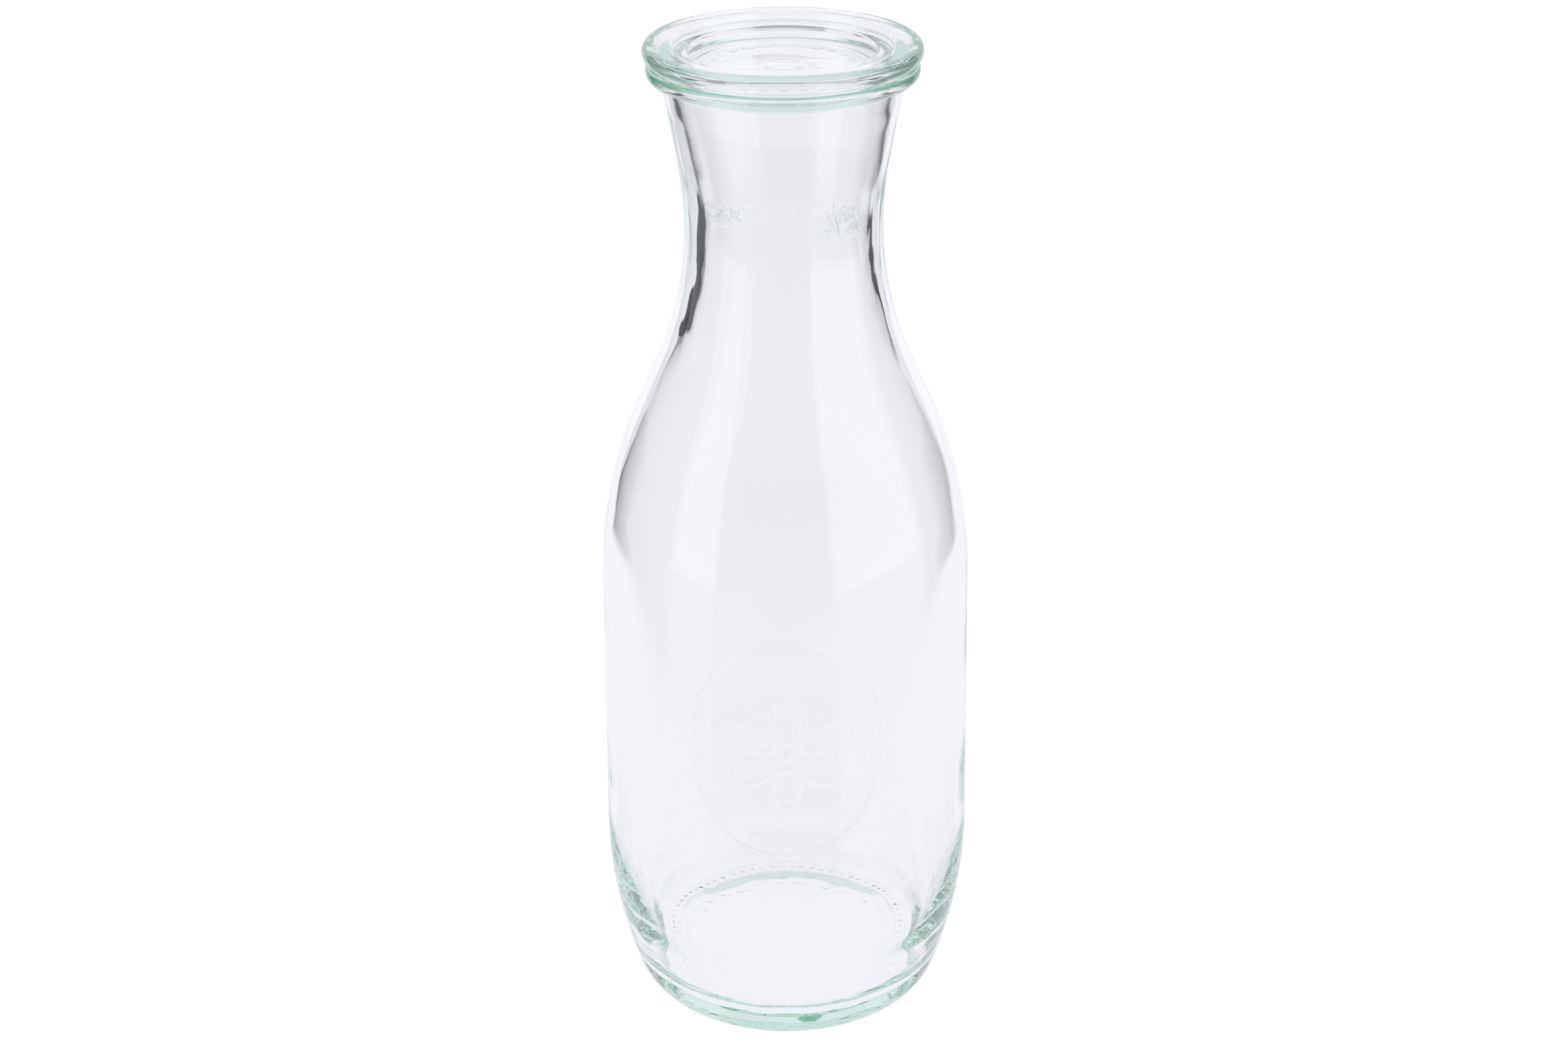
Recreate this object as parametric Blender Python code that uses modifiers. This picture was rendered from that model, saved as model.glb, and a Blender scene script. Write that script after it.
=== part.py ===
"""Glass milk bottle with a loose glass lid.

Two turned pieces of pressed soda-lime glass: the bottle, and the dished lid that rests on its rim.
Metres, +Z up. The origin is the centre of the ring that the bottle stands on.

Each piece is an outline of radius against height, turned about Z. An outline is a run of straight
lines whose corners are rounded by tangent arcs.
"""

import math

import bmesh
import bpy

# Driving dimensions.
BOTTLE_HEIGHT = 0.2492
RIM_RADIUS = 0.0320
LID_RADIUS = 0.0327
LID_EDGE_HEIGHT = 0.0050
REST_GAP = 0.0003
BODY_WALL = 0.0025
HEEL_WALL = 0.0040
FLOOR_TOP = 0.0060
FLOOR_CROWN = 0.0006

# The outside wall is five straight runs, each (radius at a height, that height, slope), where the
# slope is the change of radius per metre of height.
TOE_RUN = (0.0391, 0.0, 0.536)
HEEL_RUN = (0.0406, 0.0, 0.255)
BODY_RUN = (0.0479, 0.046, -0.0173)
SHOULDER_RUN = (0.0333, 0.1714, -0.4445)
NECK_RUN = (0.0246, 0.2218, 0.171)

# The inside of the shoulder and neck has runs of its own: the glass is thin in the shoulder and
# thickest in the throat, and thins again up to the mouth.
THROAT_INSIDE_RUN = (0.0280, 0.1747, -0.500)
NECK_INSIDE_RUN = (0.0211, 0.2218, 0.180)

# Arcs that round the outside wall where two runs meet.
TOE_ARC = 0.030
HEEL_ARC = 0.122
SHOULDER_ARC = 0.120
NECK_ARC = 0.085

# Arcs that round the inside wall.
FLOOR_ARC = 0.0090
INNER_HEEL_ARC = 0.095
INNER_SHOULDER_ARC = 0.112
INNER_NECK_ARC = 0.075

# The foot: a flat ring round a pushed-up middle.
FOOT_CORNER_ARC = 0.0040
FOOT_INNER_RADIUS = 0.0325
FOOT_INNER_ARC = 0.0060
PUSH_UP_RADIUS = 0.0270
PUSH_UP_EDGE_HEIGHT = 0.0012
PUSH_UP_ARC = 0.0200
PUSH_UP_HEIGHT = 0.0022

# The rim: a bead with a flat top for the lid.
RIM_UNDERSIDE_HEIGHT = 0.2454
RIM_BEAD_CORNER_HEIGHT = 0.2464
RIM_ROOT_ARC = 0.0009
RIM_LOWER_ARC = 0.0018
RIM_UPPER_ARC = 0.0010
MOUTH_ARC = 0.0012

# The lid, with heights measured up from its flat seat. Its top steps down twice to the dish's floor.
LID_TOP_ARC = 0.0021
LID_EDGE_ARC = 0.0032
LID_TOP_INNER_RADIUS = 0.0261
LID_TOP_INNER_ARC = 0.0005
LID_SHELF_OUTER_RADIUS = 0.0255
LID_SHELF_OUTER_HEIGHT = 0.0033
LID_SHELF_OUTER_ARC = 0.0004
LID_SHELF_INNER_RADIUS = 0.0222
LID_SHELF_INNER_HEIGHT = 0.0028
LID_SHELF_INNER_ARC = 0.0006
LID_FLOOR_RADIUS = 0.0208
LID_FLOOR_HEIGHT = -0.0008
LID_FLOOR_ARC = 0.0012
LID_CHAMFER_HEIGHT = 0.0015
LID_SEAT_OUTER_RADIUS = 0.0312
LID_PLUG_ROOT_RADIUS = 0.0255
LID_PLUG_ROOT_ARC = 0.0006
LID_PLUG_RADIUS = 0.0250
LID_PLUG_ARC = 0.0014
LID_PLUG_DEPTH = 0.0040

# How finely the round shapes are cut into flats.
CHORD_ERROR = 0.0001
TURNS_PER_CIRCLE = 60
WELD_DISTANCE = 0.00001

GLASS_COLOUR = (0.90, 0.96, 0.93, 1.0)
GLASS_ROUGHNESS = 0.02
GLASS_IOR = 1.52


def shifted(run, thickness):
    """The same straight run, moved towards the axis by a wall's thickness."""
    radius, height, slope = run
    return radius - thickness * math.hypot(1.0, slope), height, slope


def radius_at(run, height):
    """The radius of a straight run at a height."""
    radius, start_height, slope = run
    return radius + slope * (height - start_height)


def meeting_point(run, other):
    """The (radius, height) where two straight runs cross."""
    slope_difference = run[2] - other[2]
    height = (radius_at(other, 0.0) - radius_at(run, 0.0)) / slope_difference
    return radius_at(run, height), height


def toward(start, end):
    """The unit vector from one point to another, and the distance."""
    across, up = end[0] - start[0], end[1] - start[1]
    length = math.hypot(across, up)
    return (across / length, up / length), length


def rounded_corner(before, corner, after, arc_radius):
    """The points of the arc that rounds a corner, tangent to both of its sides."""
    back, _ = toward(corner, before)
    ahead, _ = toward(corner, after)
    opening = math.acos(back[0] * ahead[0] + back[1] * ahead[1])
    reach = arc_radius / math.tan(opening / 2)
    middle, _ = toward((0.0, 0.0), (back[0] + ahead[0], back[1] + ahead[1]))
    depth = arc_radius / math.sin(opening / 2)
    centre = (corner[0] + middle[0] * depth, corner[1] + middle[1] * depth)
    start = (corner[0] + back[0] * reach, corner[1] + back[1] * reach)
    spoke = (start[0] - centre[0], start[1] - centre[1])
    turn = math.pi - opening
    side = math.copysign(1.0, ahead[0] * back[1] - ahead[1] * back[0])
    widest_step = 2 * math.acos(1 - CHORD_ERROR / arc_radius)
    steps = max(2, math.ceil(turn / widest_step))
    points = []
    for step in range(steps + 1):
        angle = side * turn * step / steps
        cosine, sine = math.cos(angle), math.sin(angle)
        across = spoke[0] * cosine - spoke[1] * sine
        up = spoke[0] * sine + spoke[1] * cosine
        points.append((centre[0] + across, centre[1] + up))
    return points


def outline(corners):
    """Points along an outline of corners, each (radius, height, arc radius or 0 for a sharp corner)."""
    points = []
    for index, (radius, height, arc_radius) in enumerate(corners):
        if arc_radius:
            before, after = corners[index - 1][:2], corners[index + 1][:2]
            points += rounded_corner(before, (radius, height), after, arc_radius)
        else:
            points.append((radius, height))
    return points


def bottle_corners():
    """The bottle's outline, from the middle of its inside floor, over the rim, to the foot's middle."""
    heel_inside = shifted(HEEL_RUN, HEEL_WALL)
    body_inside = shifted(BODY_RUN, BODY_WALL)
    return [
        (0.0, FLOOR_TOP + FLOOR_CROWN, 0),
        (radius_at(heel_inside, FLOOR_TOP), FLOOR_TOP, FLOOR_ARC),
        (*meeting_point(heel_inside, body_inside), INNER_HEEL_ARC),
        (*meeting_point(body_inside, THROAT_INSIDE_RUN), INNER_SHOULDER_ARC),
        (*meeting_point(THROAT_INSIDE_RUN, NECK_INSIDE_RUN), INNER_NECK_ARC),
        (radius_at(NECK_INSIDE_RUN, BOTTLE_HEIGHT), BOTTLE_HEIGHT, MOUTH_ARC),
        (RIM_RADIUS, BOTTLE_HEIGHT, RIM_UPPER_ARC),
        (RIM_RADIUS, RIM_BEAD_CORNER_HEIGHT, RIM_LOWER_ARC),
        (radius_at(NECK_RUN, RIM_UNDERSIDE_HEIGHT), RIM_UNDERSIDE_HEIGHT, RIM_ROOT_ARC),
        (*meeting_point(SHOULDER_RUN, NECK_RUN), NECK_ARC),
        (*meeting_point(BODY_RUN, SHOULDER_RUN), SHOULDER_ARC),
        (*meeting_point(HEEL_RUN, BODY_RUN), HEEL_ARC),
        (*meeting_point(TOE_RUN, HEEL_RUN), TOE_ARC),
        (radius_at(TOE_RUN, 0.0), 0.0, FOOT_CORNER_ARC),
        (FOOT_INNER_RADIUS, 0.0, FOOT_INNER_ARC),
        (PUSH_UP_RADIUS, PUSH_UP_EDGE_HEIGHT, PUSH_UP_ARC),
        (0.0, PUSH_UP_HEIGHT, 0),
    ]


def lid_corners():
    """The lid's outline, from the middle of its dish, round its edge, to the middle of its plug."""
    seat = BOTTLE_HEIGHT + REST_GAP
    top = seat + LID_EDGE_HEIGHT
    plug_end = seat - LID_PLUG_DEPTH
    return [
        (0.0, seat + LID_FLOOR_HEIGHT, 0),
        (LID_FLOOR_RADIUS, seat + LID_FLOOR_HEIGHT, LID_FLOOR_ARC),
        (LID_SHELF_INNER_RADIUS, seat + LID_SHELF_INNER_HEIGHT, LID_SHELF_INNER_ARC),
        (LID_SHELF_OUTER_RADIUS, seat + LID_SHELF_OUTER_HEIGHT, LID_SHELF_OUTER_ARC),
        (LID_TOP_INNER_RADIUS, top, LID_TOP_INNER_ARC),
        (LID_RADIUS, top, LID_TOP_ARC),
        (LID_RADIUS, seat + LID_CHAMFER_HEIGHT, LID_EDGE_ARC),
        (LID_SEAT_OUTER_RADIUS, seat, 0),
        (LID_PLUG_ROOT_RADIUS, seat, LID_PLUG_ROOT_ARC),
        (LID_PLUG_RADIUS, plug_end, LID_PLUG_ARC),
        (0.0, plug_end, 0),
    ]


def glass_material(name):
    """Clear soda-lime glass with a faint green cast."""
    material = bpy.data.materials.new(name)
    material.use_nodes = True
    shader = material.node_tree.nodes["Principled BSDF"]
    shader.inputs["Base Color"].default_value = GLASS_COLOUR
    shader.inputs["Metallic"].default_value = 0.0
    shader.inputs["Roughness"].default_value = GLASS_ROUGHNESS
    shader.inputs["IOR"].default_value = GLASS_IOR
    shader.inputs["Transmission Weight"].default_value = 1.0
    material.diffuse_color = GLASS_COLOUR
    return material


def turned_piece(name, corners, collection, parent, material):
    """An outline turned a full circle about Z by a Screw modifier."""
    mesh = bpy.data.meshes.new(name)
    editable = bmesh.new()
    ring = [editable.verts.new((radius, 0.0, height)) for radius, height in outline(corners)]
    for start, end in zip(ring, ring[1:]):
        editable.edges.new((start, end))
    editable.to_mesh(mesh)
    editable.free()
    mesh.materials.append(material)

    piece = bpy.data.objects.new(name, mesh)
    collection.objects.link(piece)
    piece.parent = parent

    turn = piece.modifiers.new("turn", "SCREW")
    turn.axis = "Z"
    turn.angle = math.tau
    turn.steps = TURNS_PER_CIRCLE
    turn.render_steps = TURNS_PER_CIRCLE
    turn.use_merge_vertices = True
    turn.merge_threshold = WELD_DISTANCE
    turn.use_smooth_shade = True
    return piece


def build():
    for existing in list(bpy.data.objects):
        bpy.data.objects.remove(existing)
    collection = bpy.data.collections.new("milk_bottle")
    bpy.context.scene.collection.children.link(collection)

    root = bpy.data.objects.new("milk_bottle_root", None)
    collection.objects.link(root)
    lid_mover = bpy.data.objects.new("lid_lift", None)
    collection.objects.link(lid_mover)
    lid_mover.parent = root

    turned_piece("bottle", bottle_corners(), collection, root, glass_material("bottle_glass"))
    turned_piece("lid", lid_corners(), collection, lid_mover, glass_material("lid_glass"))


build()
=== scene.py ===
"""Looks of the glass milk bottle: clear glass, its raised marks, its lid, and the studio round it."""

import math

import bpy
import numpy as np
from mathutils import Matrix, Vector, noise


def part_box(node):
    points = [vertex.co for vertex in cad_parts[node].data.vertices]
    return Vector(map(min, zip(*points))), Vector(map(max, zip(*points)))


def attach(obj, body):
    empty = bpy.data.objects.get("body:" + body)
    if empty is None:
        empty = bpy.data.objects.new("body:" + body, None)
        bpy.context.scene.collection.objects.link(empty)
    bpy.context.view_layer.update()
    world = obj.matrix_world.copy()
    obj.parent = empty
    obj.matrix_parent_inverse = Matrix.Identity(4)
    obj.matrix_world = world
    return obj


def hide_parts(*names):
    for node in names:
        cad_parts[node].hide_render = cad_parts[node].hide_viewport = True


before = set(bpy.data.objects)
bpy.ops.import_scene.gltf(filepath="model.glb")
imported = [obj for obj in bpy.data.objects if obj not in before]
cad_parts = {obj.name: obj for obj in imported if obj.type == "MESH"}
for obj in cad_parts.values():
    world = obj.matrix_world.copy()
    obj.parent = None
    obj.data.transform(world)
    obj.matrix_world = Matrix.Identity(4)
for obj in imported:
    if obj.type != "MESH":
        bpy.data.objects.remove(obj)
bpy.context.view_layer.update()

# ---------------------------------------------------------------- sizes taken from the frame
bottle_low, bottle_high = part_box("bottle")
lid_low, lid_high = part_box("lid")
RIM_TOP = bottle_high.z
LID_TOP = lid_high.z
PLUG_END = lid_low.z
LID_RADIUS = lid_high.x
REST_GAP = 0.0003
SEAT = RIM_TOP + REST_GAP

# The same outline as the CAD bottle. Straight runs are (radius, at this height, change of radius with
# height), and arcs round the corners between them.
TOE_RUN = (0.0391, 0.0, 0.536)
HEEL_RUN = (0.0406, 0.0, 0.255)
BODY_RUN = (0.0479, 0.046, -0.0173)
SHOULDER_RUN = (0.0333, 0.1714, -0.4445)
NECK_RUN = (0.0246, 0.2218, 0.171)
TOE_ARC = 0.030
HEEL_ARC = 0.122
SHOULDER_ARC = 0.120
NECK_ARC = 0.085
BODY_WALL = 0.0025
HEEL_WALL = 0.0040
THROAT_INSIDE_RUN = (0.0280, 0.1747, -0.500)
NECK_INSIDE_RUN = (0.0211, 0.2218, 0.180)
NECK_MIDDLE_RUN = (0.0226, 0.2218, 0.180)
FLOOR_ARC = 0.0090
INNER_HEEL_ARC = 0.095
INNER_SHOULDER_ARC = 0.112
INNER_NECK_ARC = 0.075
FLOOR_TOP = 0.0060
FLOOR_CROWN = 0.0006
RIM_RADIUS = 0.0320
RIM_UNDERSIDE_HEIGHT = 0.2454
RIM_BEAD_CORNER_HEIGHT = 0.2464
RIM_ROOT_ARC = 0.0009
RIM_LOWER_ARC = 0.0018
RIM_UPPER_ARC = 0.0010
MOUTH_ARC = 0.0012
FOOT_CORNER_ARC = 0.0040
FOOT_INNER_RADIUS = 0.0325
FOOT_INNER_ARC = 0.0060
PUSH_UP_RADIUS = 0.0270
PUSH_UP_EDGE_HEIGHT = 0.0012
PUSH_UP_ARC = 0.0200
PUSH_UP_HEIGHT = 0.0022

# The lid's outline, with its heights measured up from its seat.
LID_TOP_ARC = 0.0021
LID_EDGE_ARC = 0.0032
LID_TOP_INNER_RADIUS = 0.0261
LID_TOP_INNER_ARC = 0.0005
LID_SHELF_OUTER_RADIUS = 0.0255
LID_SHELF_OUTER_HEIGHT = 0.0033
LID_SHELF_OUTER_ARC = 0.0004
LID_SHELF_INNER_RADIUS = 0.0222
LID_SHELF_INNER_HEIGHT = 0.0028
LID_SHELF_INNER_ARC = 0.0006
LID_FLOOR_RADIUS = 0.0208
LID_FLOOR_DEPTH = 0.0008
LID_FLOOR_ARC = 0.0012
LID_CHAMFER_HEIGHT = 0.0015
LID_SEAT_OUTER_RADIUS = 0.0312
LID_PLUG_ROOT_RADIUS = 0.0255
LID_PLUG_ROOT_ARC = 0.0006
LID_PLUG_RADIUS = 0.0250
LID_PLUG_ARC = 0.0014

# Where one band of rows ends and the next begins, so that only the marked bands are cut finely.
NECK_INSIDE_END = 0.238
RIM_BAND_START = 0.2395
RIM_BAND_END = 0.240
OUTSIDE_START = 0.2385
OUTSIDE_END = 0.002
HEEL_BAND_END = 0.0065
FOOT_BAND_START = 0.004
FOOT_BAND_END = (0.0190, 0.0015)
PUSH_UP_BAND_START = (0.0180, 0.0016)
POLE_RING_RADIUS = 0.0020
LID_POLE_RING_RADIUS = 0.0015
LID_MARKED_RADIUS = 0.0190

# How finely the glass is cut. Columns are angles round the axis, rows are points along the outline.
ARC_SPACING = 0.0018
ARC_TURN = math.radians(9)
ROW_SPACING = 0.0024
WAVY_ROW_SPACING = 0.0020
MARKED_ROW_SPACING = 0.0006
COLUMNS = 180
FOOT_COLUMNS = 360
FRONT_SPLIT = 5
LID_COLUMNS = 288

# The medallion is centred on the face towards -Y.
FRONT = -math.pi / 2
MEDALLION_HEIGHT = 0.0900
MEDALLION_HALF_WIDTH = 0.0245
MEDALLION_HALF_HEIGHT = 0.0300
MEDALLION_RING_WIDTH = 0.0009
MEDALLION_RELIEF = 0.00060
MEDALLION_BAND_HALF_HEIGHT = 0.033
MEDALLION_BAND_HALF_WIDTH = math.radians(33)
PETAL_COUNT = 6
PETAL_DISTANCE = 0.0094
PETAL_HALF_LENGTH = 0.0056
PETAL_HALF_WIDTH = 0.0031
PETAL_LINE_WIDTH = 0.0007
FLOWER_MIDDLE_RADIUS = 0.0021
BEAD_COUNT = 16
BEAD_INSET = 0.0042
BEAD_RADIUS = 0.0011

# The body is widest below the medallion. Relief stays inside the radius that the body has at this height,
# and this much more.
RELIEF_LIMIT_HEIGHT = 0.055
RELIEF_SPARE = 0.00026

# Marks under the foot and in the lid's dish.
BAR_COUNT = 72
BAR_RING_RADIUS = 0.0338
BAR_HALF_LENGTH = 0.0004
BAR_WIDTH = 0.0008
BAR_DEPTH = 0.00024
FOOT_DASH_RING_RADIUS = 0.0256
FOOT_DASH_COUNT = 22
FOOT_DASH_LENGTH = 0.0026
FOOT_DASH_WIDTH = 0.0009
FOOT_DASH_RELIEF = 0.00024
LID_DASH_RING_RADIUS = 0.0165
LID_DASH_COUNT = 24
LID_DASH_LENGTH = 0.0016
LID_DASH_WIDTH = 0.0007
LID_DASH_RELIEF = 0.00022
LID_RING_RADIUS = 0.0048
LID_RING_WIDTH = 0.0008
LID_RING_RELIEF = 0.00012


# ---------------------------------------------------------------- outlines
def shifted(run, thickness):
    """The same straight run, moved towards the axis by a wall's thickness."""
    radius, height, slope = run
    return radius - thickness * math.hypot(1.0, slope), height, slope


def radius_at(run, height):
    """The radius of a straight run at a height."""
    radius, start_height, slope = run
    return radius + slope * (height - start_height)


def meeting_point(run, other):
    """The (radius, height) where two straight runs cross."""
    height = (radius_at(other, 0.0) - radius_at(run, 0.0)) / (run[2] - other[2])
    return radius_at(run, height), height


def rounded_corner(before, corner, after, arc_radius):
    """Points of the arc that rounds a corner, tangent to both of its sides."""
    corner = np.array(corner)
    back = np.array(before) - corner
    ahead = np.array(after) - corner
    back /= np.hypot(*back)
    ahead /= np.hypot(*ahead)
    opening = math.acos(back @ ahead)
    middle = (back + ahead) / np.hypot(*(back + ahead))
    centre = corner + middle * arc_radius / math.sin(opening / 2)
    spoke = corner + back * arc_radius / math.tan(opening / 2) - centre
    turn = math.pi - opening
    side = math.copysign(1.0, ahead[0] * back[1] - ahead[1] * back[0])
    steps = math.ceil(max(turn / ARC_TURN, turn * arc_radius / ARC_SPACING, 2))
    angles = side * turn * np.linspace(0.0, 1.0, steps + 1)
    across = spoke[0] * np.cos(angles) - spoke[1] * np.sin(angles)
    up = spoke[0] * np.sin(angles) + spoke[1] * np.cos(angles)
    return np.stack([centre[0] + across, centre[1] + up], 1)


def outline(corners):
    """Points along corners, each (radius, height, arc radius or 0). The first and last are sharp."""
    points = [np.array([corners[0][:2]])]
    for before, corner, after in zip(corners, corners[1:], corners[2:]):
        if corner[2]:
            points.append(rounded_corner(before[:2], corner[:2], after[:2], corner[2]))
        else:
            points.append(np.array([corner[:2]]))
    points.append(np.array([corners[-1][:2]]))
    return np.concatenate(points)


def spaced(points, spacing):
    """The same outline, with its long straight stretches cut so that no row is wider than the spacing."""
    cut = [points[0]]
    for start, end in zip(points, points[1:]):
        pieces = max(1, math.ceil(np.hypot(*(end - start)) / spacing))
        cut += [start + (end - start) * k / pieces for k in range(1, pieces + 1)]
    return np.array(cut)


# ---------------------------------------------------------------- raised marks, as heights in metres
def bump(distance, width):
    """1 on a line or in a dot's middle, falling smoothly to 0 at the width."""
    return np.clip(1.0 - (distance / width) ** 2, 0.0, 1.0) ** 2


def ring_distance(x, y, half_width, half_height):
    """About how far a point is from an ellipse."""
    angle = np.arctan2(y / half_height, x / half_width)
    reach = np.hypot(half_width * np.cos(angle), half_height * np.sin(angle))
    return (np.hypot(x / half_width, y / half_height) - 1.0) * reach


def medallion(angle, height):
    """A plain oval ring, with an open six-petalled flower and beads inside it."""
    from_front = np.mod(angle - FRONT + math.pi, math.tau) - math.pi
    x = from_front * radius_at(BODY_RUN, MEDALLION_HEIGHT)
    y = height - MEDALLION_HEIGHT
    from_ring = ring_distance(x, y, MEDALLION_HALF_WIDTH, MEDALLION_HALF_HEIGHT)
    relief = bump(from_ring, MEDALLION_RING_WIDTH)
    for petal in range(PETAL_COUNT):
        turn = math.radians(360 / PETAL_COUNT * petal + 30)
        along = x * math.cos(turn) + y * math.sin(turn) - PETAL_DISTANCE
        across = -x * math.sin(turn) + y * math.cos(turn)
        from_petal = ring_distance(along, across, PETAL_HALF_LENGTH, PETAL_HALF_WIDTH)
        relief = np.maximum(relief, bump(from_petal, PETAL_LINE_WIDTH))
    relief = np.maximum(relief, bump(np.hypot(x, y), FLOWER_MIDDLE_RADIUS))
    for bead in range(BEAD_COUNT):
        turn = math.radians(360 / BEAD_COUNT * bead)
        bead_x = (MEDALLION_HALF_WIDTH - BEAD_INSET) * math.cos(turn)
        bead_y = (MEDALLION_HALF_HEIGHT - BEAD_INSET) * math.sin(turn)
        relief = np.maximum(relief, bump(np.hypot(x - bead_x, y - bead_y), BEAD_RADIUS))
    room = radius_at(BODY_RUN, RELIEF_LIMIT_HEIGHT) - radius_at(BODY_RUN, height) + RELIEF_SPARE
    return relief * np.minimum(MEDALLION_RELIEF, room)


def dash_ring(angle, radius, ring_radius, count, length, width):
    """A ring of short dashes, the generic stand-in for a maker's small print."""
    pitch = math.tau / count
    along = (np.mod(angle + pitch / 2, pitch) - pitch / 2) * ring_radius
    past_end = np.maximum(np.abs(along) - length / 2, 0.0)
    return bump(np.hypot(past_end, radius - ring_radius), width)


def ripple(angle, height, size, seed):
    """Smooth uneven glass, between about -1 and 1. Size is the ripples' width in metres."""
    x = np.cos(angle) * 0.045
    y = np.sin(angle) * 0.045
    values = [
        noise.noise(Vector((px / size + seed, py / size, pz / size)))
        for px, py, pz in zip(x.ravel(), y.ravel(), height.ravel())
    ]
    return np.array(values).reshape(x.shape)


# ---------------------------------------------------------------- turned meshes
def column_angles(count, split=1, half_width=0.0):
    """Angles round the axis. Those within half_width of the front are split finer."""
    coarse = FRONT + math.tau * np.arange(count) / count
    angles = []
    for angle in coarse:
        offset = abs(math.remainder(angle - FRONT, math.tau))
        fine = split if offset <= half_width else 1
        angles += [angle + math.tau / count * k / fine for k in range(fine)]
    return np.array(angles)


def normals_of(points):
    """Unit normals of the outline, pointing out of the glass."""
    along = np.gradient(points, axis=0)
    across = np.stack([-along[:, 1], along[:, 0]], 1)
    return across / np.maximum(np.hypot(across[:, 0], across[:, 1]), 1e-12)[:, None]


class Turned:
    """One closed mesh, built from bands of rows that may have different numbers of columns."""

    def __init__(self):
        self.vertices = []
        self.faces = []
        self.last_ring = None
        self.last_angles = None

    def add_pole(self, height):
        self.vertices.append((0.0, 0.0, height))
        pole = len(self.vertices) - 1
        if self.last_ring is not None:
            for here, there in zip(self.last_ring, np.roll(self.last_ring, -1)):
                self.faces.append((there, here, pole))
        self.last_ring = pole
        self.last_angles = None

    def add_ring(self, ring, angles):
        if self.last_angles is None:
            if self.last_ring is not None:
                for here, there in zip(ring, np.roll(ring, -1)):
                    self.faces.append((self.last_ring, here, there))
        else:
            self.join(self.last_ring, self.last_angles, ring, angles)
        self.last_ring = ring
        self.last_angles = angles

    def join(self, lower, lower_angles, upper, upper_angles):
        """Faces between two rings, where one ring's angles may be a finer cut of the other's."""
        coarse = lower_angles if len(lower_angles) <= len(upper_angles) else upper_angles
        low_at = np.searchsorted(lower_angles, coarse - 1e-6)
        high_at = np.searchsorted(upper_angles, coarse - 1e-6)
        low_at = np.append(low_at, len(lower))
        high_at = np.append(high_at, len(upper))
        for k in range(len(coarse)):
            low = [lower[i % len(lower)] for i in range(low_at[k], low_at[k + 1] + 1)]
            high = [upper[i % len(upper)] for i in range(high_at[k], high_at[k + 1] + 1)]
            self.faces.append((*reversed(low), *high))

    def add_band(self, points, angles, height_of=None):
        """Rows of an outline, each point moved along its normal by height_of(angle, radius, height)."""
        normals = normals_of(points)
        turn, radius = np.meshgrid(angles, points[:, 0])
        height = np.repeat(points[:, 1:2], len(angles), 1)
        raised = height_of(turn, radius, height) if height_of else np.zeros_like(radius)
        radius = radius + normals[:, 0:1] * raised
        height = height + normals[:, 1:2] * raised
        x = radius * np.cos(turn)
        y = radius * np.sin(turn)
        for row in range(len(points)):
            first = len(self.vertices)
            self.vertices += list(zip(x[row], y[row], height[row]))
            self.add_ring(np.arange(first, first + len(angles)), angles)

    def finished(self, name):
        mesh = bpy.data.meshes.new(name)
        mesh.from_pydata(self.vertices, [], [[int(i) for i in face] for face in self.faces])
        mesh.validate()
        mesh.shade_smooth()
        piece = bpy.data.objects.new(name, mesh)
        bpy.context.scene.collection.objects.link(piece)
        return piece


# ---------------------------------------------------------------- the bottle
def inner_wall_height(angle, radius, height):
    """Blown glass is uneven inside: strongly so in the heel, and a little in the body and neck.

    The neck's bore also sits a little to the right, so its left wall is the thicker one.
    """
    heel = np.clip(1.0 - (height - FLOOR_TOP) / 0.030, 0.0, 1.0)
    corner = np.clip(1.0 - (height - FLOOR_TOP) / 0.006, 0.0, 1.0)
    away_from_mouth = np.clip((RIM_TOP - 0.006 - height) / 0.02, 0.0, 1.0)
    neck = np.clip((height - 0.165) / 0.020, 0.0, 1.0)
    broad = ripple(angle, height, 0.020, 3.0) * (0.00008 + 0.00024 * heel)
    fine = ripple(angle, height, 0.008, 11.0) * (0.00003 + 0.00016 * heel + 0.00026 * corner)
    ragged = ripple(angle, height, 0.0045, 17.0) * 0.00004 * neck
    aside = -0.00045 * np.cos(angle) * neck
    return (broad + fine + ragged + aside) * away_from_mouth


def inner_floor_height(angle, radius, height):
    """The floor is uneven too, and more so towards its edge."""
    spread = np.clip(radius / 0.012, 0.0, 1.0)
    edge = np.clip((radius - 0.018) / 0.010, 0.0, 1.0)
    broad = noise_on_disc(angle, radius, 0.016, 5.0) * 0.00022
    fine = noise_on_disc(angle, radius, 0.006, 8.0) * (0.00004 + 0.00020 * edge)
    return (broad + fine) * spread


def noise_on_disc(angle, radius, size, seed):
    """Smooth uneven glass on a floor, between about -1 and 1."""
    x = radius * np.cos(angle) / size
    y = radius * np.sin(angle) / size
    values = [noise.noise(Vector((px, py, seed))) for px, py in zip(x.ravel(), y.ravel())]
    return np.array(values).reshape(x.shape)


def outer_wall_height(angle, radius, height):
    """The outside took the mould's even surface. Two faint seams run up its sides."""
    offset = np.minimum(np.abs(np.remainder(angle, math.pi)), np.abs(np.remainder(-angle, math.pi)))
    seam = bump(offset * radius, 0.0014) * 0.00007
    return seam - 0.00013 + ripple(angle, height, 0.030, 21.0) * 0.00003


def body_front_height(angle, radius, height):
    """The outside wall with the medallion on it."""
    return medallion(angle, height) + outer_wall_height(angle, radius, height)


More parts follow.
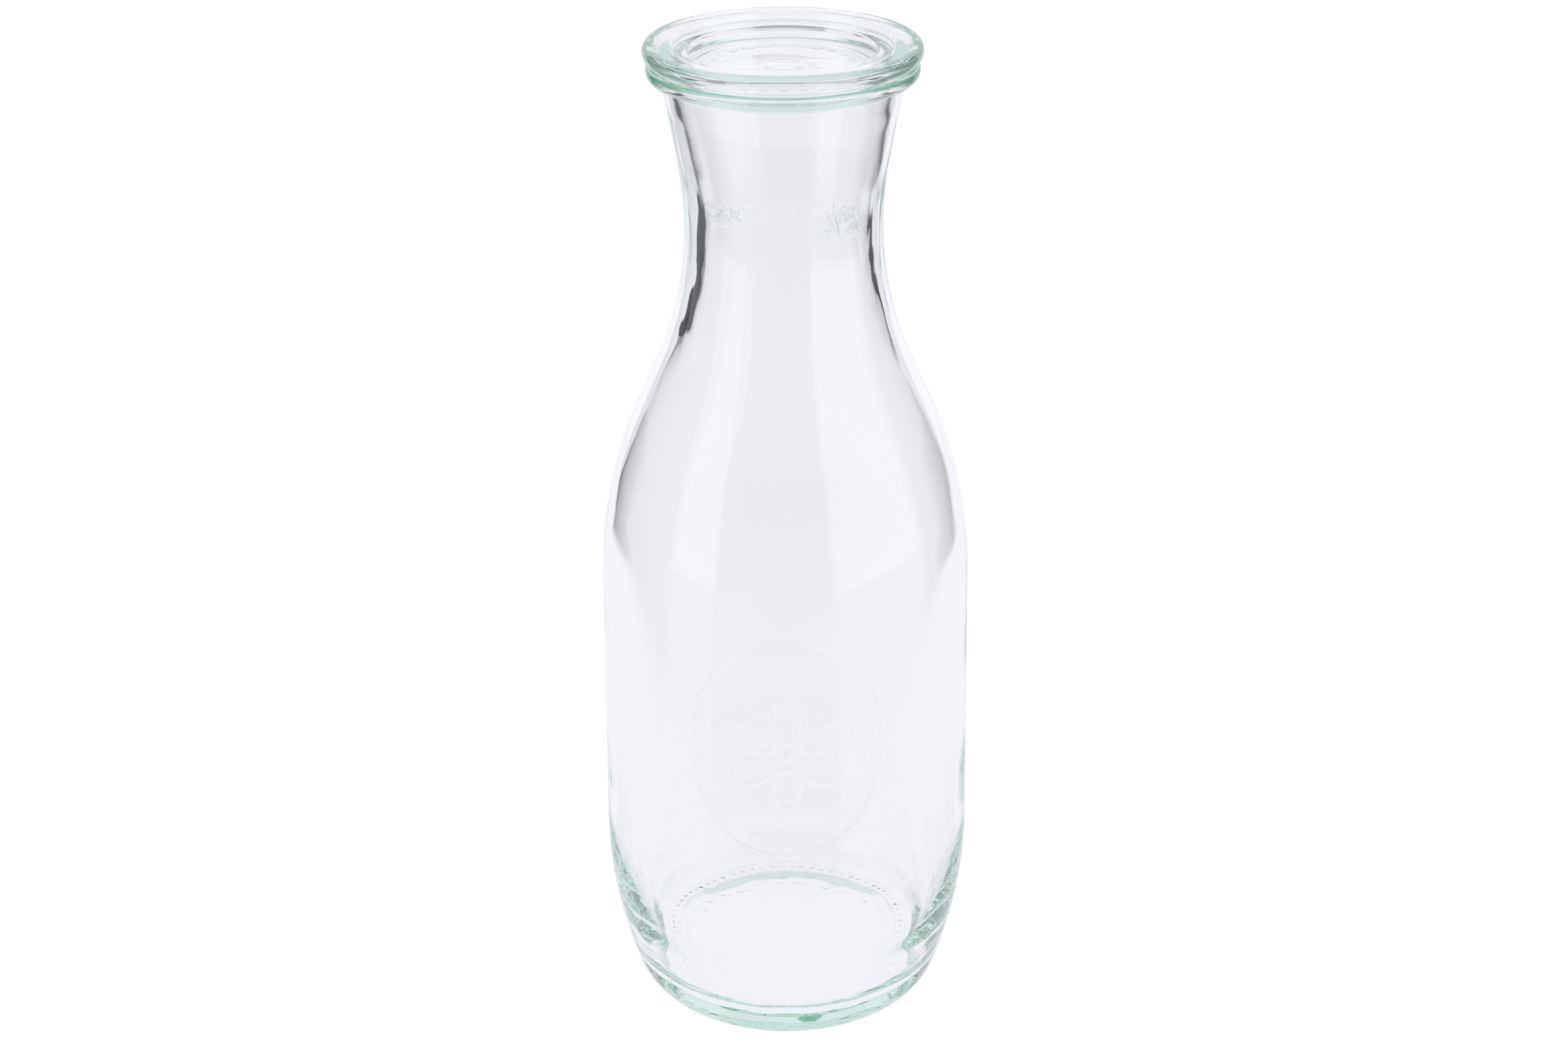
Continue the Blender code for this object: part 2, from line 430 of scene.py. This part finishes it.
def foot_height(angle, radius, height):
    """Radial bars round the standing ring, and a ring of dashes under the pushed-up middle."""
    pitch = math.tau / BAR_COUNT
    along = (np.mod(angle, pitch) - pitch / 2) * BAR_RING_RADIUS
    past_end = np.maximum(np.abs(radius - BAR_RING_RADIUS) - BAR_HALF_LENGTH, 0.0)
    bars = -BAR_DEPTH * bump(np.hypot(along, past_end), BAR_WIDTH)
    swing = 0.06 * np.sin(5 * angle) + 0.05 * np.sin(11 * angle + 1.0)
    wandering = radius + 0.0004 * np.sin(7 * angle)
    dashes = FOOT_DASH_RELIEF * dash_ring(
        angle + swing, wandering, FOOT_DASH_RING_RADIUS, FOOT_DASH_COUNT, FOOT_DASH_LENGTH, FOOT_DASH_WIDTH
    )
    return bars + dashes


def make_bottle():
    """The bottle as one closed mesh, from the middle of its floor, over the rim, to the foot's middle."""
    heel_inside = shifted(HEEL_RUN, HEEL_WALL)
    body_inside = shifted(BODY_RUN, BODY_WALL)
    floor_edge = radius_at(heel_inside, FLOOR_TOP)
    inside = outline([
        (floor_edge - 0.012, FLOOR_TOP + 0.0002, 0),
        (floor_edge, FLOOR_TOP, FLOOR_ARC),
        (*meeting_point(heel_inside, body_inside), INNER_HEEL_ARC),
        (*meeting_point(body_inside, THROAT_INSIDE_RUN), INNER_SHOULDER_ARC),
        (*meeting_point(THROAT_INSIDE_RUN, NECK_INSIDE_RUN), INNER_NECK_ARC),
        (radius_at(NECK_INSIDE_RUN, NECK_INSIDE_END), NECK_INSIDE_END, 0),
    ])
    rim = outline([
        (radius_at(NECK_INSIDE_RUN, RIM_BAND_START), RIM_BAND_START, 0),
        (radius_at(NECK_INSIDE_RUN, RIM_TOP), RIM_TOP, MOUTH_ARC),
        (RIM_RADIUS, RIM_TOP, RIM_UPPER_ARC),
        (RIM_RADIUS, RIM_BEAD_CORNER_HEIGHT, RIM_LOWER_ARC),
        (radius_at(NECK_RUN, RIM_UNDERSIDE_HEIGHT), RIM_UNDERSIDE_HEIGHT, RIM_ROOT_ARC),
        (radius_at(NECK_RUN, RIM_BAND_END), RIM_BAND_END, 0),
    ])
    outside = spaced(outline([
        (radius_at(NECK_RUN, OUTSIDE_START), OUTSIDE_START, 0),
        (*meeting_point(SHOULDER_RUN, NECK_RUN), NECK_ARC),
        (*meeting_point(BODY_RUN, SHOULDER_RUN), SHOULDER_ARC),
        (*meeting_point(HEEL_RUN, BODY_RUN), HEEL_ARC),
        (*meeting_point(TOE_RUN, HEEL_RUN), TOE_ARC),
        (radius_at(TOE_RUN, OUTSIDE_END), OUTSIDE_END, 0),
    ]), ROW_SPACING)
    height = outside[:, 1]
    band_top = MEDALLION_HEIGHT + MEDALLION_BAND_HALF_HEIGHT
    band_bottom = MEDALLION_HEIGHT - MEDALLION_BAND_HALF_HEIGHT
    upper = outside[height >= band_top]
    medallion_band = outside[(height > band_bottom) & (height < band_top)]
    heel = outside[(height <= band_bottom) & (height > HEEL_BAND_END)]
    foot = outline([
        (radius_at(TOE_RUN, FOOT_BAND_START), FOOT_BAND_START, 0),
        (radius_at(TOE_RUN, 0.0), 0.0, FOOT_CORNER_ARC),
        (FOOT_INNER_RADIUS, 0.0, FOOT_INNER_ARC),
        (PUSH_UP_RADIUS, PUSH_UP_EDGE_HEIGHT, PUSH_UP_ARC),
        (*FOOT_BAND_END, 0),
    ])
    columns = column_angles(COLUMNS)
    front_columns = column_angles(COLUMNS, FRONT_SPLIT, MEDALLION_BAND_HALF_WIDTH)
    foot_columns = column_angles(FOOT_COLUMNS)

    glass = Turned()
    glass.add_pole(FLOOR_TOP + FLOOR_CROWN)
    floor_start = (POLE_RING_RADIUS, FLOOR_TOP + FLOOR_CROWN)
    floor = np.array([floor_start, (floor_edge - 0.014, FLOOR_TOP + 0.0002)])
    glass.add_band(spaced(floor, WAVY_ROW_SPACING), columns, inner_floor_height)
    glass.add_band(spaced(inside, WAVY_ROW_SPACING), columns, inner_wall_height)
    glass.add_band(spaced(rim, ROW_SPACING), columns)
    glass.add_band(upper, columns, outer_wall_height)
    glass.add_band(spaced(medallion_band, MARKED_ROW_SPACING), front_columns, body_front_height)
    glass.add_band(heel, columns, outer_wall_height)
    glass.add_band(spaced(foot, MARKED_ROW_SPACING), foot_columns, foot_height)
    middle = np.array([PUSH_UP_BAND_START, (POLE_RING_RADIUS, PUSH_UP_HEIGHT)])
    glass.add_band(spaced(middle, ROW_SPACING), columns)
    glass.add_pole(PUSH_UP_HEIGHT)
    return glass.finished("bottle_glass")


# ---------------------------------------------------------------- the lid
def dish_height(angle, radius, height):
    """Pressed marks on the dish's floor: a ring of dashes and a small plain ring in the middle."""
    dashes = LID_DASH_RELIEF * dash_ring(
        angle, radius, LID_DASH_RING_RADIUS, LID_DASH_COUNT, LID_DASH_LENGTH, LID_DASH_WIDTH
    )
    ring = LID_RING_RELIEF * bump(radius - LID_RING_RADIUS, LID_RING_WIDTH)
    return dashes + ring + noise_on_disc(angle, radius, 0.009, 2.0) * 0.00006


def make_lid():
    """The lid as one closed mesh, from the middle of its dish, round its edge, to the plug's middle."""
    dish_floor = SEAT - LID_FLOOR_DEPTH
    around_edge = outline([
        (LID_POLE_RING_RADIUS, dish_floor, 0),
        (LID_FLOOR_RADIUS, dish_floor, LID_FLOOR_ARC),
        (LID_SHELF_INNER_RADIUS, SEAT + LID_SHELF_INNER_HEIGHT, LID_SHELF_INNER_ARC),
        (LID_SHELF_OUTER_RADIUS, SEAT + LID_SHELF_OUTER_HEIGHT, LID_SHELF_OUTER_ARC),
        (LID_TOP_INNER_RADIUS, LID_TOP, LID_TOP_INNER_ARC),
        (LID_RADIUS, LID_TOP, LID_TOP_ARC),
        (LID_RADIUS, SEAT + LID_CHAMFER_HEIGHT, LID_EDGE_ARC),
        (LID_SEAT_OUTER_RADIUS, SEAT, 0),
        (LID_PLUG_ROOT_RADIUS, SEAT, LID_PLUG_ROOT_ARC),
        (LID_PLUG_RADIUS, PLUG_END, LID_PLUG_ARC),
        (LID_POLE_RING_RADIUS, PLUG_END, 0),
    ])
    columns = column_angles(LID_COLUMNS)
    glass = Turned()
    glass.add_pole(dish_floor)
    floor = np.array([(LID_POLE_RING_RADIUS, dish_floor), (LID_MARKED_RADIUS, dish_floor)])
    glass.add_band(spaced(floor, MARKED_ROW_SPACING), columns, dish_height)
    # The first point is the floor's start, which the marked rows already cover.
    glass.add_band(spaced(around_edge[1:], ROW_SPACING), columns)
    glass.add_pole(PLUG_END)
    return glass.finished("lid_glass")


# ---------------------------------------------------------------- studio
# Brightness, from black at 0. The camera itself sees everything round the object as CAMERA_WHITE.
STUDIO_TINT = (0.972, 0.954, 1.011)
CAMERA_WHITE = (1.04, 1.04, 1.04, 1.0)
WHITE = 1.0
DARK = 0.02
FRONT_WALL = 0.24
SIDE_WALL = 0.32
CEILING = 0.90
TABLE_BACK = 0.96
TABLE_FRONT = 0.34
TABLE_SHEEN = 0.60

# Directions, in degrees round from the back, positive to the right, and the ceiling's edge above the floor.
BACKDROP_LEFT = -39.0
BACKDROP_RIGHT = 43.0
SOFTBOX_LEFT = (-137.0, -107.0)
SOFTBOX_RIGHT = (88.0, 151.0)
FLAG_WIDTH = 24.0
CEILING_EDGE = (math.radians(35), math.radians(50))

# Places on the floor in metres, each with the soft range over which the change happens.
FLOOR_RADIUS = 6.0
TABLE_EDGE = (0.69, 0.71)
TABLE_BACK_START = (-0.25, -0.02)
TABLE_BACK_SIDES = (0.34, 0.18)
FLAG_START = (0.36, 0.42)
FLAG_SPREAD = (0.46, 0.58)
FLAG_NEAR_TURN = 0.89


def make_camera():
    """The viewpoint: in front, looking down at the bottle."""
    camera = bpy.data.objects.new("camera", bpy.data.cameras.new("camera"))
    bpy.context.scene.collection.objects.link(camera)
    camera.data.sensor_width = 36.0
    camera.data.lens = 55.38
    camera.location = (-0.0003, -0.550, 0.398)
    tilt = Matrix.Rotation(math.radians(90 - 25.95), 4, "X")
    roll = Matrix.Rotation(math.radians(-0.30), 4, "Z")
    camera.rotation_euler = (tilt @ roll).to_euler()
    camera.data.clip_start = 0.01
    bpy.context.scene.camera = camera


class Maths:
    """Short ways to add maths nodes to a shader's node tree."""

    def __init__(self, tree):
        self.tree = tree

    def node(self, operation, first, second=None):
        made = self.tree.nodes.new("ShaderNodeMath")
        made.operation = operation
        for socket, value in zip(made.inputs, (first, second)):
            if isinstance(value, (int, float)):
                socket.default_value = value
            elif value is not None:
                self.tree.links.new(value, socket)
        return made.outputs[0]

    def rise(self, value, start, end):
        """0 below start, 1 above end, and smooth between them."""
        made = self.tree.nodes.new("ShaderNodeMapRange")
        made.interpolation_type = "SMOOTHSTEP"
        made.inputs["From Min"].default_value = start
        made.inputs["From Max"].default_value = end
        self.tree.links.new(value, made.inputs["Value"])
        return made.outputs[0]

    def between(self, value, low, high, soft):
        """1 from low to high, falling to 0 over the soft width outside them."""
        up = self.rise(value, low - soft, low + soft)
        down = self.rise(value, high - soft, high + soft)
        return self.node("SUBTRACT", up, down)

    def mix(self, factor, first, second):
        """First where the factor is 0, second where it is 1."""
        made = self.tree.nodes.new("ShaderNodeMix")
        for socket, value in zip(made.inputs[:1] + made.inputs[2:4], (factor, first, second)):
            if isinstance(value, (int, float)):
                socket.default_value = value
            else:
                self.tree.links.new(value, socket)
        return made.outputs[0]

    def brightest(self, *values):
        result = values[0]
        for value in values[1:]:
            result = self.node("MAXIMUM", result, value)
        return result


def studio_colour(tree, strength):
    """The strength in the studio's slightly lilac white for the glass, and plain white for the camera."""
    seen = tree.nodes.new("ShaderNodeLightPath")
    tint = tree.nodes.new("ShaderNodeVectorMath")
    tint.operation = "SCALE"
    tint.inputs[0].default_value = STUDIO_TINT
    tree.links.new(strength, tint.inputs["Scale"])
    mixed = tree.nodes.new("ShaderNodeMix")
    mixed.data_type = "RGBA"
    tree.links.new(seen.outputs["Is Camera Ray"], mixed.inputs["Factor"])
    tree.links.new(tint.outputs[0], mixed.inputs["A"])
    mixed.inputs["B"].default_value = CAMERA_WHITE
    return mixed.outputs["Result"]


def around(maths, x, y):
    """Degrees round from the y direction, positive towards x."""
    return maths.node("MULTIPLY", maths.node("ARCTAN2", x, y), math.degrees(1.0))


def softboxes(maths, turn):
    """1 in the directions of the two softboxes, and 0 elsewhere."""
    left = maths.between(turn, *SOFTBOX_LEFT, 1.5)
    right = maths.between(turn, *SOFTBOX_RIGHT, 3.0)
    return maths.brightest(left, right)


def walls(maths, turn):
    """How bright the studio is in each direction: white behind and at the softboxes, dim elsewhere."""
    backdrop = maths.between(turn, BACKDROP_LEFT, BACKDROP_RIGHT, 1.5)
    side = maths.between(turn, SOFTBOX_LEFT[1], SOFTBOX_RIGHT[0], 1.5)
    plain = maths.mix(side, FRONT_WALL, SIDE_WALL)
    return maths.mix(maths.brightest(backdrop, softboxes(maths, turn)), plain, WHITE)


def flags(maths, turn):
    """The two black cards that lie at the backdrop's sides and draw the dark lines in the neck."""
    left = maths.between(turn, BACKDROP_LEFT - FLAG_WIDTH, BACKDROP_LEFT, 1.0)
    right = maths.between(turn, BACKDROP_RIGHT, BACKDROP_RIGHT + FLAG_WIDTH, 3.0)
    return maths.brightest(left, right)


def make_floor():
    """A pale table top with the studio beyond it. It gives off its own light, so it shows no shadow.

    The glass sees it white behind the bottle and dim at the sides and in front.
    """
    bpy.ops.mesh.primitive_circle_add(vertices=96, radius=FLOOR_RADIUS, fill_type="NGON")
    floor = bpy.context.object
    floor.name = "floor"
    material = bpy.data.materials.new("floor_white")
    material.use_nodes = True
    tree = material.node_tree
    tree.nodes.clear()
    maths = Maths(tree)
    place = tree.nodes.new("ShaderNodeTexCoord")
    split = tree.nodes.new("ShaderNodeSeparateXYZ")
    length = tree.nodes.new("ShaderNodeVectorMath")
    length.operation = "LENGTH"
    tree.links.new(place.outputs["Object"], split.inputs["Vector"])
    tree.links.new(place.outputs["Object"], length.inputs[0])
    distance = length.outputs["Value"]
    turn = around(maths, split.outputs["X"], split.outputs["Y"])
    far = walls(maths, turn)
    aside = maths.node("SUBTRACT", maths.node("ABSOLUTE", split.outputs["X"]), split.outputs["Y"])
    back = maths.rise(split.outputs["Y"], *TABLE_BACK_START)
    behind = maths.node("MULTIPLY", back, maths.rise(aside, *TABLE_BACK_SIDES))
    table = maths.mix(softboxes(maths, turn), TABLE_FRONT, TABLE_SHEEN)
    table = maths.mix(behind, table, TABLE_BACK)
    beyond = maths.rise(distance, *TABLE_EDGE)
    strength = maths.mix(beyond, table, far)
    # The flags' near ends stand further to the sides.
    spread = maths.mix(maths.rise(distance, *FLAG_SPREAD), FLAG_NEAR_TURN, 1.0)
    narrowed = maths.node("MULTIPLY", turn, spread)
    shaded = maths.node("MULTIPLY", flags(maths, narrowed), maths.rise(distance, *FLAG_START))
    strength = maths.mix(shaded, strength, DARK)
    emission = tree.nodes.new("ShaderNodeEmission")
    output = tree.nodes.new("ShaderNodeOutputMaterial")
    tree.links.new(studio_colour(tree, strength), emission.inputs["Color"])
    tree.links.new(emission.outputs["Emission"], output.inputs["Surface"])
    floor.data.materials.append(material)


def make_world():
    """A backdrop and two softboxes round the object, with dim gaps between them and a pale ceiling."""
    world = bpy.data.worlds.new("studio")
    bpy.context.scene.world = world
    world.use_nodes = True
    tree = world.node_tree
    maths = Maths(tree)
    place = tree.nodes.new("ShaderNodeTexCoord")
    split = tree.nodes.new("ShaderNodeSeparateXYZ")
    tree.links.new(place.outputs["Generated"], split.inputs["Vector"])
    turn = around(maths, split.outputs["X"], split.outputs["Y"])
    strength = walls(maths, turn)
    low, high = CEILING_EDGE
    overhead = maths.rise(split.outputs["Z"], math.sin(low), math.sin(high))
    strength = maths.mix(overhead, strength, CEILING)
    tree.links.new(studio_colour(tree, strength), tree.nodes["Background"].inputs["Color"])


# ---------------------------------------------------------------- materials
# How strongly the glass absorbs red, green and blue light, per metre.
GLASS_ABSORPTION = (4.3, 1.5, 2.6)
GLASS_IOR = 1.52

# The mouth's matt inside fades out over these heights, along an edge that wanders by this much.
MATT_EDGE = (0.2195, 0.2225)
MATT_EDGE_SWAY = 0.012

# Creases: degrees round from the front, positive to the right, and heights.
LEFT_CREASES = (-48.0, -24.0)
LEFT_CREASE_HEIGHTS = (0.2150, 0.2205)
RIGHT_CREASES = (16.0, 50.0)
RIGHT_CREASE_HEIGHTS = (0.2130, 0.2190)
CREASED_LINE = (-50.0, 50.0)
CREASED_LINE_HEIGHTS = (0.2190, 0.2200)
CREASE_SIDE_FADE = 6.0
CREASE_FADE = 0.0015
CREASED_LINE_FADE = 0.0006
CREASE_DEPTH = 0.00020
WAVE_DEPTH = 0.000015


def glass_material(name, absorbed):
    """Clear soda-lime glass: green where it is seen through its length, with a slightly uneven skin."""
    material = bpy.data.materials.new(name)
    material.use_nodes = True
    tree = material.node_tree
    tree.nodes.clear()
    output = tree.nodes.new("ShaderNodeOutputMaterial")
    shader = tree.nodes.new("ShaderNodeBsdfPrincipled")
    shader.inputs["Base Color"].default_value = (1.0, 1.0, 1.0, 1.0)
    shader.inputs["Transmission Weight"].default_value = 1.0
    shader.inputs["IOR"].default_value = GLASS_IOR
    tree.links.new(shader.outputs["BSDF"], output.inputs["Surface"])

    depth = tree.nodes.new("ShaderNodeVolumeAbsorption")
    density = max(absorbed)
    depth.inputs["Density"].default_value = density
    colour = [1.0 - amount / density for amount in absorbed]
    depth.inputs["Color"].default_value = (*colour, 1.0)
    tree.links.new(depth.outputs["Volume"], output.inputs["Volume"])
    return material, shader


def noise_texture(tree, vector, scale, detail, distortion=0.0):
    """A noise node's value, from 0 to 1. The scale is in blobs per metre."""
    texture = tree.nodes.new("ShaderNodeTexNoise")
    texture.inputs["Scale"].default_value = scale
    texture.inputs["Detail"].default_value = detail
    texture.inputs["Distortion"].default_value = distortion
    tree.links.new(vector, texture.inputs["Vector"])
    return texture.outputs["Fac"]


def bumped(tree, height, distance, before=None):
    """A bump node, added on top of the one before it."""
    made = tree.nodes.new("ShaderNodeBump")
    made.inputs["Strength"].default_value = 1.0
    made.inputs["Distance"].default_value = distance
    tree.links.new(height, made.inputs["Height"])
    if before is not None:
        tree.links.new(before, made.inputs["Normal"])
    return made.outputs["Normal"]


def bottle_material():
    """The bottle's glass, matt inside the mouth, creased below that and worn under the foot."""
    material, shader = glass_material("bottle_glass", GLASS_ABSORPTION)
    tree = material.node_tree
    maths = Maths(tree)
    place = tree.nodes.new("ShaderNodeTexCoord").outputs["Object"]
    split = tree.nodes.new("ShaderNodeSeparateXYZ")
    tree.links.new(place, split.inputs["Vector"])
    height = split.outputs["Z"]
    across = tree.nodes.new("ShaderNodeVectorMath")
    across.operation = "MULTIPLY"
    across.inputs[1].default_value = (1.0, 1.0, 0.0)
    tree.links.new(place, across.inputs[0])
    length = tree.nodes.new("ShaderNodeVectorMath")
    length.operation = "LENGTH"
    tree.links.new(across.outputs[0], length.inputs[0])
    radius = length.outputs["Value"]

    # Points nearer the axis than the middle of the neck's wall are on its inside.
    middle_radius, middle_height, middle_slope = NECK_MIDDLE_RUN
    wider = maths.node("MULTIPLY", maths.node("SUBTRACT", height, middle_height), middle_slope)
    middle = maths.node("ADD", wider, middle_radius)
    inside = maths.rise(maths.node("SUBTRACT", middle, radius), 0.0, 0.0002)

    # The plunger left the inside of the mouth matt, down to a creased edge.
    sway = noise_texture(tree, place, 60.0, 2.0)
    wander = maths.node("MULTIPLY", maths.node("SUBTRACT", sway, 0.5), MATT_EDGE_SWAY)
    edge = maths.node("ADD", height, wander)
    upper = maths.node("MULTIPLY", inside, maths.rise(edge, *MATT_EDGE))
    grain = noise_texture(tree, place, 1800.0, 3.0)
    matt = maths.node("MULTIPLY", upper, maths.node("ADD", maths.node("MULTIPLY", grain, 0.08), 0.05))

    # Creases lie along that edge, in a patch at the front's left and another at its right.
    from_front = around(maths, split.outputs["X"], maths.node("MULTIPLY", split.outputs["Y"], -1.0))
    left = maths.between(from_front, *LEFT_CREASES, CREASE_SIDE_FADE)
    left = maths.node("MULTIPLY", left, maths.between(edge, *LEFT_CREASE_HEIGHTS, CREASE_FADE))
    right = maths.between(from_front, *RIGHT_CREASES, CREASE_SIDE_FADE)
    right = maths.node("MULTIPLY", right, maths.between(edge, *RIGHT_CREASE_HEIGHTS, CREASE_FADE))
    line = maths.between(from_front, *CREASED_LINE, CREASE_SIDE_FADE)
    line = maths.node("MULTIPLY", line, maths.between(edge, *CREASED_LINE_HEIGHTS, CREASED_LINE_FADE))
    patches = maths.rise(noise_texture(tree, place, 260.0, 3.0, 1.0), 0.40, 0.52)
    creased = maths.node("MULTIPLY", maths.brightest(left, right, line), patches)
    creased = maths.node("MULTIPLY", creased, inside)
    crumple = noise_texture(tree, place, 1100.0, 4.0, 1.5)

    # Standing and sliding have worn the foot.
    worn = maths.rise(height, 0.0006, 0.0001)
    scuffs = maths.rise(noise_texture(tree, place, 900.0, 4.0), 0.45, 0.65)
    scuffed = maths.node("MULTIPLY", maths.node("MULTIPLY", worn, scuffs), 0.35)

    roughness = maths.brightest(matt, scuffed, maths.node("MULTIPLY", creased, 0.12))
    tree.links.new(roughness, shader.inputs["Roughness"])

    waves = bumped(tree, noise_texture(tree, place, 90.0, 2.0), WAVE_DEPTH)
    creases = bumped(tree, maths.node("MULTIPLY", crumple, creased), CREASE_DEPTH, waves)
    tree.links.new(creases, shader.inputs["Normal"])
    return material


def lid_material():
    """The lid's glass, pressed in one go: smooth, with faint waves and a few hazy marks."""
    material, shader = glass_material("lid_glass", GLASS_ABSORPTION)
    tree = material.node_tree
    maths = Maths(tree)
    place = tree.nodes.new("ShaderNodeTexCoord").outputs["Object"]
    haze = maths.rise(noise_texture(tree, place, 60.0, 4.0), 0.50, 0.75)
    tree.links.new(maths.node("MULTIPLY", haze, 0.03), shader.inputs["Roughness"])
    waves = bumped(tree, noise_texture(tree, place, 120.0, 2.0), WAVE_DEPTH)
    tree.links.new(waves, shader.inputs["Normal"])
    return material


# ---------------------------------------------------------------- the scene
# Light goes round many times inside thick glass. Cutting it off early would leave black patches.
LIGHT_BOUNCES = 96

make_camera()
make_floor()
make_world()
bpy.context.scene.view_settings.view_transform = "Standard"
bpy.context.scene.cycles.max_bounces = LIGHT_BOUNCES
bpy.context.scene.cycles.glossy_bounces = LIGHT_BOUNCES
bpy.context.scene.cycles.transmission_bounces = LIGHT_BOUNCES

bottle = make_bottle()
bottle.data.materials.append(bottle_material())
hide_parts("bottle")
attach(bottle, "bottle")

lid = make_lid()
lid.data.materials.append(lid_material())
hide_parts("lid")
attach(lid, "lid")
